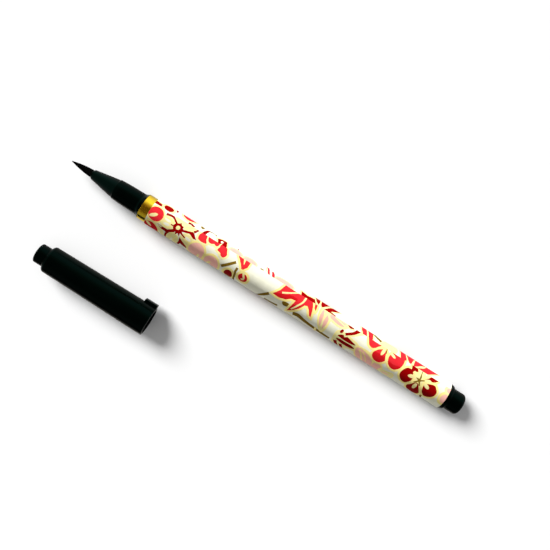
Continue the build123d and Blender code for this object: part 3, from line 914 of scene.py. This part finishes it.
def cut_sheet():
    """The flat sheet cut into triangles along every print edge, and the coat on each triangle."""
    points, edges = [], []

    def cut(path):
        first = len(points)
        points.extend(Vector(p) for p in path)
        edges.extend((first + k, first + k + 1) for k in range(len(path) - 1))
        return first

    for across in np.linspace(0, sheet_girth_mm, cells_round + 1):
        cut([(0, across), (sheet_length_mm, across)])
    for along in np.linspace(0, sheet_length_mm, cells_along + 1):
        cut([(along, 0), (along, sheet_girth_mm)])
    for _, outline in prints:
        first = cut(outline)
        edges.append((len(points) - 1, first))
    flat, _, triangles, *_ = geometry.delaunay_2d_cdt(points, edges, [], 0, merge_mm, False)
    flat = np.array([tuple(p) for p in flat])
    triangles = np.array(triangles)
    middles = flat[triangles].mean(1)
    kept = ((middles > 0) & (middles < (sheet_length_mm, sheet_girth_mm))).all(1)
    triangles, middles = triangles[kept], middles[kept]
    coat_on = np.zeros(len(triangles), int)
    for coat, outline in prints:
        low, high = np.min(outline, 0), np.max(outline, 0)
        near = np.nonzero(((middles > low) & (middles < high)).all(1))[0]
        if len(near):
            coat_on[near[inside(outline, middles[near])]] = coat
    return flat, triangles.tolist(), coat_on.tolist()


class RolledSheet:
    """The sheet as one closed skin: printed face, bore, both ends and the step at the lap seam."""

    def __init__(self, flat, triangles, coat_on):
        self.flat = flat
        self.places, self.normals = [], []
        self.faces, self.coats, self.smooth = [], [], []
        self.index, self.heights_at = {}, {}
        levels = [height_mm[make] for make, *_ in coats.values()]
        sides = {}
        for corners, coat in zip(triangles, coat_on):
            for k in range(3):
                edge = (corners[k], corners[(k + 1) % 3])
                sides.setdefault(tuple(sorted(edge)), []).append((levels[coat], coat))
                self.heights_at.setdefault(corners[k], set()).add(levels[coat])
        for corners, coat in zip(triangles, coat_on):
            self.add([self.vertex(c, levels[coat]) for c in reversed(corners)], coat, True)
        rims = []
        for (a, b), owners in sides.items():
            if len(owners) == 1:
                rims.append((a, b, owners[0][0]))
            elif owners[0][0] != owners[1][0]:
                low, high = sorted(owners)
                rise = [self.vertex(b, h) for h in self.between(b, low[0], high[0])]
                fall = [self.vertex(a, h) for h in self.between(a, low[0], high[0])]
                self.add(rise + fall[::-1], high[1], False)
        self.close(rims)

    def between(self, corner, low, high):
        return sorted(h for h in self.heights_at[corner] if low <= h <= high)

    def place(self, along, across, height=0.0, radius=None):
        """Adds the point where a flat point comes to lie on the barrel, and returns its number."""
        lap = max(0.0, 1 - across / lap_run_mm)
        if radius is None:
            radius = sheet_radius_mm + height + lap_rise_mm * lap * lap * (3 - 2 * lap)
        angle = (across + seam_from_top_mm) / sheet_radius_mm
        outward = Vector((0, -math.sin(angle), math.cos(angle)))
        self.places.append(Vector((paper_low.x + along * MM, 0, 0)) + outward * radius * MM)
        self.normals.append(outward)
        return len(self.places) - 1

    def vertex(self, corner, height):
        key = (corner, height)
        if key not in self.index:
            self.index[key] = self.place(*self.flat[corner], height)
        return self.index[key]

    def add(self, corners, coat, smooth):
        self.faces.append(corners)
        self.coats.append(coat)
        self.smooth.append(smooth)

    def chain(self, rims, axis, value):
        """The skin's edge along one side of the flat sheet, as (distance, vertex) in order."""
        other = 1 - axis
        runs = []
        for a, b, height in rims:
            if all(abs(self.flat[end][axis] - value) < same_place_mm for end in (a, b)):
                if self.flat[a][other] > self.flat[b][other]:
                    a, b = b, a
                runs.append((self.flat[a][other], a, b, height))
        runs.sort()
        steps = [(runs[0][1], runs[0][3])]
        for _, a, b, height in runs:
            before = steps[-1][1]
            if height > before:
                steps += [(a, h) for h in self.between(a, before, height)[1:]]
            elif height < before:
                steps += [(a, h) for h in self.between(a, height, before)[-2::-1]]
            steps.append((b, height))
        return [(self.flat[corner][other], self.vertex(corner, height)) for corner, height in steps]

    def zip_up(self, first, second, extra=None):
        """Triangles between two chains that run side by side. extra sits on the edge they start from."""
        i = j = 0
        while i < len(first) - 1 or j < len(second) - 1:
            if j == len(second) - 1 or (i < len(first) - 1 and first[i + 1][0] <= second[j + 1][0]):
                corners = [first[i][1], first[i + 1][1], second[j][1]]
                i += 1
            else:
                corners = [first[i][1], second[j + 1][1], second[j][1]]
                j += 1
            if extra is not None:
                corners.append(extra)
                extra = None
            self.add(corners, 0, False)

    def close(self, rims):
        """Adds the step at the lap seam, both ends and the bore, all of bare paper."""
        self.zip_up(self.chain(rims, 1, 0.0), self.chain(rims, 1, sheet_girth_mm))
        bores = []
        for along in (0.0, sheet_length_mm):
            outer = self.chain(rims, 0, along)
            steps = [sheet_girth_mm * k / cells_round for k in range(cells_round)]
            ring = [self.place(along, across, radius=sheet_bore_mm) for across in steps]
            bores.append(ring)
            inner = list(zip(steps, ring)) + [(sheet_girth_mm, ring[0])]
            self.zip_up(outer, inner, extra=outer[-1][1])
        for k in range(cells_round):
            following = (k + 1) % cells_round
            self.add([bores[0][k], bores[0][following], bores[1][following], bores[1][k]], 0, False)


def turn_outwards(mesh):
    shell = bmesh.new()
    shell.from_mesh(mesh)
    bmesh.ops.recalc_face_normals(shell, faces=shell.faces)
    shell.to_mesh(mesh)
    shell.free()
    mesh.update()


def placed(name, data):
    """A new object in the scene."""
    made = bpy.data.objects.new(name, data)
    bpy.context.scene.collection.objects.link(made)
    return made


def washi_sheet():
    print_sheet()
    skin = RolledSheet(*cut_sheet())
    mesh = bpy.data.meshes.new("washi_sheet")
    mesh.from_pydata(skin.places, [], skin.faces)
    for make, *details in coats.values():
        mesh.materials.append(make(*details).material)
    mesh.polygons.foreach_set("material_index", skin.coats)
    mesh.polygons.foreach_set("use_smooth", [True] * len(skin.faces))
    turn_outwards(mesh)
    shading = []
    for face, smooth in zip(mesh.polygons, skin.smooth):
        shading += [skin.normals[v] if smooth else face.normal.copy() for v in face.vertices]
    mesh.normals_split_custom_set(shading)
    return placed("washi_sheet", mesh)


# ---- tuft
# A solid core under a layer of bristles. A share is a place along the free tuft: 0 at its tip, 1 at the
# holder's mouth, and more than 1 inside the holder.

tuft_low, tuft_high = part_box("bristle_tuft")
holder_front_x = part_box("brush_holder")[0].x
free_length = holder_front_x - tuft_low.x
root_radius = tuft_high.y
mouth_radius = 1.32 * MM
point_radius = 0.09 * MM
taper_power = 1.7
core_share = 0.93
core_sides = 40
core_steps = 16
chamber_depth = 4.4 * MM
root_step = 0.2 * MM
root_bevel = 0.1 * MM
root_share = 0.99
root_end_share = 0.9
filament_radius = 0.055 * MM
filament_count = 190
filament_rings = 14
filament_sides = 5
filament_root_share = 1.12
filament_tip_width = 0.28
filament_swell = 2.2
sway_turn = 2.2
most_sway = 0.06
first_tip = 0.003
tip_spread = 0.30
tip_power = 2.2
depth_range = (0.90, 0.985)


def tuft_radius(share):
    return mouth_radius * (1 - (1 - min(1.0, share)) ** taper_power) + point_radius


def tube_faces(rings, sides):
    """The faces of a closed tube whose points run ring by ring."""
    faces = []
    for ring in range(rings - 1):
        for k in range(sides):
            a, b = ring * sides + k, ring * sides + (k + 1) % sides
            faces.append((a, b, b + sides, a + sides))
    last = (rings - 1) * sides
    return faces + [tuple(range(sides)), tuple(range(last + sides - 1, last - 1, -1))]


def tuft_core():
    """The tuft's solid middle, with the thicker fused root inside the holder's chamber."""
    chamber_x = holder_front_x + chamber_depth
    profile = [
        (tuft_low.x + free_length * k / core_steps, tuft_radius(k / core_steps) * core_share)
        for k in range(core_steps + 1)
    ]
    profile += [
        (chamber_x - root_step, mouth_radius * core_share),
        (chamber_x + root_step, root_radius * root_share),
        (tuft_high.x - root_bevel, root_radius * root_share),
        (tuft_high.x, root_radius * root_end_share),
    ]
    points = []
    for x, radius in profile:
        for k in range(core_sides):
            angle = 2 * math.pi * k / core_sides
            points.append(Vector((x, radius * math.cos(angle), radius * math.sin(angle))))
    return points, tube_faces(len(profile), core_sides)


def filament(angle, tip_share, depth, sway):
    """One bristle lying on the tuft's surface, thinning to its own tip."""
    points = []
    for ring in range(filament_rings + 1):
        t = ring / filament_rings
        share = tip_share + (filament_root_share - tip_share) * t
        reach = tuft_radius(share) * depth
        turn = angle + sway * math.sin(sway_turn * t + angle)
        outward = Vector((0, math.cos(turn), math.sin(turn)))
        around = Vector((0, -math.sin(turn), math.cos(turn)))
        middle = Vector((tuft_low.x + free_length * share, 0, 0)) + outward * reach
        swell = min(1.0, filament_swell * t + 0.1)
        thickness = filament_radius * (filament_tip_width + (1 - filament_tip_width) * swell)
        for k in range(filament_sides):
            swing = 2 * math.pi * k / filament_sides
            points.append(middle + (outward * math.cos(swing) + around * math.sin(swing)) * thickness)
    return points, tube_faces(filament_rings + 1, filament_sides)


def bristles():
    parts = [tuft_core()]
    golden_turn = math.pi * (3 - math.sqrt(5))
    for k in range(filament_count):
        tip_share = first_tip + tip_spread * random.random() ** tip_power
        depth = random.uniform(*depth_range)
        parts.append(filament(k * golden_turn, tip_share, depth, random.uniform(-most_sway, most_sway)))
    points, faces = [], []
    for part_points, part_faces in parts:
        faces += [tuple(len(points) + k for k in face) for face in part_faces]
        points += part_points
    mesh = bpy.data.meshes.new("tuft_filaments")
    mesh.from_pydata(points, [], faces)
    mesh.polygons.foreach_set("use_smooth", [len(face) <= 4 for face in faces])
    turn_outwards(mesh)
    return placed("tuft_filaments", mesh)


# ---- finishes and pieces

finishes = (
    black_gloss_plastic, black_matte_plastic, bonded_fibre, clear_plastic, gold_metal, natural_plastic,
    nylon_bristle, steel, white_plastic,
)
slot_of = {name: node.data.materials[0].name for name, node in nodes.items()}
for plain in list(bpy.data.materials):
    bpy.data.materials.remove(plain)
materials = {finish.__name__: finish().material for finish in finishes}
for name, node in nodes.items():
    if slot_of[name] in materials:
        node.data.materials.clear()
        node.data.materials.append(materials[slot_of[name]])

sheet = washi_sheet()
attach(sheet, "barrel")
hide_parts("washi_wrap")

tuft = bristles()
tuft.data.materials.append(materials["nylon_bristle"])
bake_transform(tuft)
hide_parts("bristle_tuft")

for name in ("cap_shell", "grip_section", "brush_holder", "tail_plug", "gold_ring"):
    shading = nodes[name].modifiers.new("even_shading", "WEIGHTED_NORMAL")
    shading.keep_sharp = True


# ---- floor, light and camera

floor_size = 4.0
floor_gap = 0.03 * MM
floor_tone = (0.59, 0.59, 0.59)


def pale_floor():
    surface = Surface("pale_floor", floor_tone, 0.9, specular=0.0)
    surface.tint(surface.noise(30), floor_tone, (0.60, 0.60, 0.60))
    half = floor_size / 2
    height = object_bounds()[0].z - floor_gap
    mesh = bpy.data.meshes.new("floor")
    corners = [(-half, -half, height), (half, -half, height), (half, half, height), (-half, half, height)]
    mesh.from_pydata(corners, [], [(0, 1, 2, 3)])
    mesh.materials.append(surface.material)
    made = placed("floor", mesh)
    made.visible_glossy = False
    made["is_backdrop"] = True
    return made


def sun(name, heading, elevation, width, strength, receivers):
    """A soft distant light from a heading and an elevation, in degrees, that lights only its receivers."""
    data = bpy.data.lights.new(name, "SUN")
    data.angle = math.radians(width)
    data.energy = strength
    heading, elevation = math.radians(heading), math.radians(elevation)
    flat = math.cos(elevation)
    comes_from = Vector((flat * math.cos(heading), flat * math.sin(heading), math.sin(elevation)))
    lamp = placed(name, data)
    lamp.rotation_euler = comes_from.to_track_quat("Z", "Y").to_euler()
    lamp.visible_glossy = False
    lit = bpy.data.collections.new(name + "_receivers")
    for receiver in receivers:
        lit.objects.link(receiver)
    lamp.light_linking.receiver_collection = lit


def colour_ramp(tree, value, low, high, stops):
    """Colours that follow a value from low to high; each stop is a value and its colour."""
    share = add_node(tree, "MapRange", **{"From Min": low, "From Max": high})
    tree.links.new(value, share.inputs["Value"])
    ramp = add_node(tree, "ValToRGB")
    elements = ramp.color_ramp.elements
    while len(elements) < len(stops):
        elements.new(0.5)
    for element, (place, colour) in zip(elements, stops):
        element.position = (place - low) / (high - low)
        element.color = (*colour, 1)
    tree.links.new(share.outputs["Result"], ramp.inputs["Fac"])
    return ramp.outputs["Color"]


def studio_world():
    """Even white light for matt surfaces; glossy ones reflect windows, the brightest on the +Y side."""
    ambient = 0.47
    reflection_gain = 1.35
    # Windows round the pen: angle from straight up towards +Y, brightness seen there and its share of green.
    windows = (
        (-180, 0.25, 1.0), (-140, 0.50, 0.95), (-120, 0.36, 0.95), (-110, 0.01, 1.0),
        (-94, 0.02, 1.0), (-78, 0.20, 0.98), (-58, 0.19, 0.90), (-40, 0.075, 0.68),
        (14, 0.075, 0.62), (27, 0.19, 0.66), (44, 0.46, 0.88), (60, 0.84, 1.0),
        (90, 0.84, 1.0), (112, 0.66, 0.98), (135, 0.50, 0.95), (180, 0.25, 1.0),
    )
    # A window before the brush tip: how far a direction leans towards +X, and brightness seen there.
    front_window = ((-0.74, 0.0), (-0.64, 0.9), (-0.46, 0.9), (-0.34, 0.0))
    world = bpy.data.worlds.new("studio")
    bpy.context.scene.world = world
    world.use_nodes = True
    tree = world.node_tree
    tree.nodes.clear()
    link = tree.links.new
    parts = add_node(tree, "SeparateXYZ")
    link(add_node(tree, "TexCoord").outputs["Generated"], parts.inputs[0])
    angle = add_node(tree, "Math")
    angle.operation = "ARCTAN2"
    link(parts.outputs["Y"], angle.inputs[0])
    link(parts.outputs["Z"], angle.inputs[1])
    over = [(math.radians(turn), (value, value * green, value * green**3)) for turn, value, green in windows]
    before = [(slope, (value, value, value)) for slope, value in front_window]
    seen = add_node(tree, "VectorMath")
    link(colour_ramp(tree, angle.outputs[0], -math.pi, math.pi, over), seen.inputs[0])
    link(colour_ramp(tree, parts.outputs["X"], -1, 1, before), seen.inputs[1])
    matt, glossy, camera_view = (
        add_node(tree, "Background", Strength=strength, Color=(1, 1, 1, 1))
        for strength in (ambient, reflection_gain, 1.0)
    )
    link(seen.outputs["Vector"], glossy.inputs["Color"])
    rays = add_node(tree, "LightPath")
    shown = matt.outputs[0]
    for ray, background in (("Is Glossy Ray", glossy), ("Is Camera Ray", camera_view)):
        mix = add_node(tree, "MixShader")
        link(rays.outputs[ray], mix.inputs[0])
        link(shown, mix.inputs[1])
        link(background.outputs[0], mix.inputs[2])
        shown = mix.outputs[0]
    link(shown, add_node(tree, "OutputWorld").inputs["Surface"])


def camera():
    """Looks almost straight down, with the pen running from upper left to lower right in the picture."""
    place = Vector((-13.86, 29.52, 262.37)) * MM
    target = Vector((-12.19, 4.14, 0.0)) * MM
    picture_up = math.radians(122.115)
    forward = (target - place).normalized()
    right = forward.cross(Vector((math.cos(picture_up), math.sin(picture_up), 0))).normalized()
    up = right.cross(forward)
    data = bpy.data.cameras.new("camera")
    data.lens = 49.09
    data.clip_start = 0.01
    made = placed("camera", data)
    made.matrix_world = Matrix.Translation(place) @ Matrix((right, up, -forward)).transposed().to_4x4()
    bpy.context.scene.camera = made


floor = pale_floor()
sun("key_light", 90, 28.5, 7, 5.6, [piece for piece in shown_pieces() if piece is not floor])
sun("floor_light", 158.6, 36.7, 30, 6.7, [floor])
studio_world()
camera()
bpy.context.scene.view_settings.view_transform = "Standard"
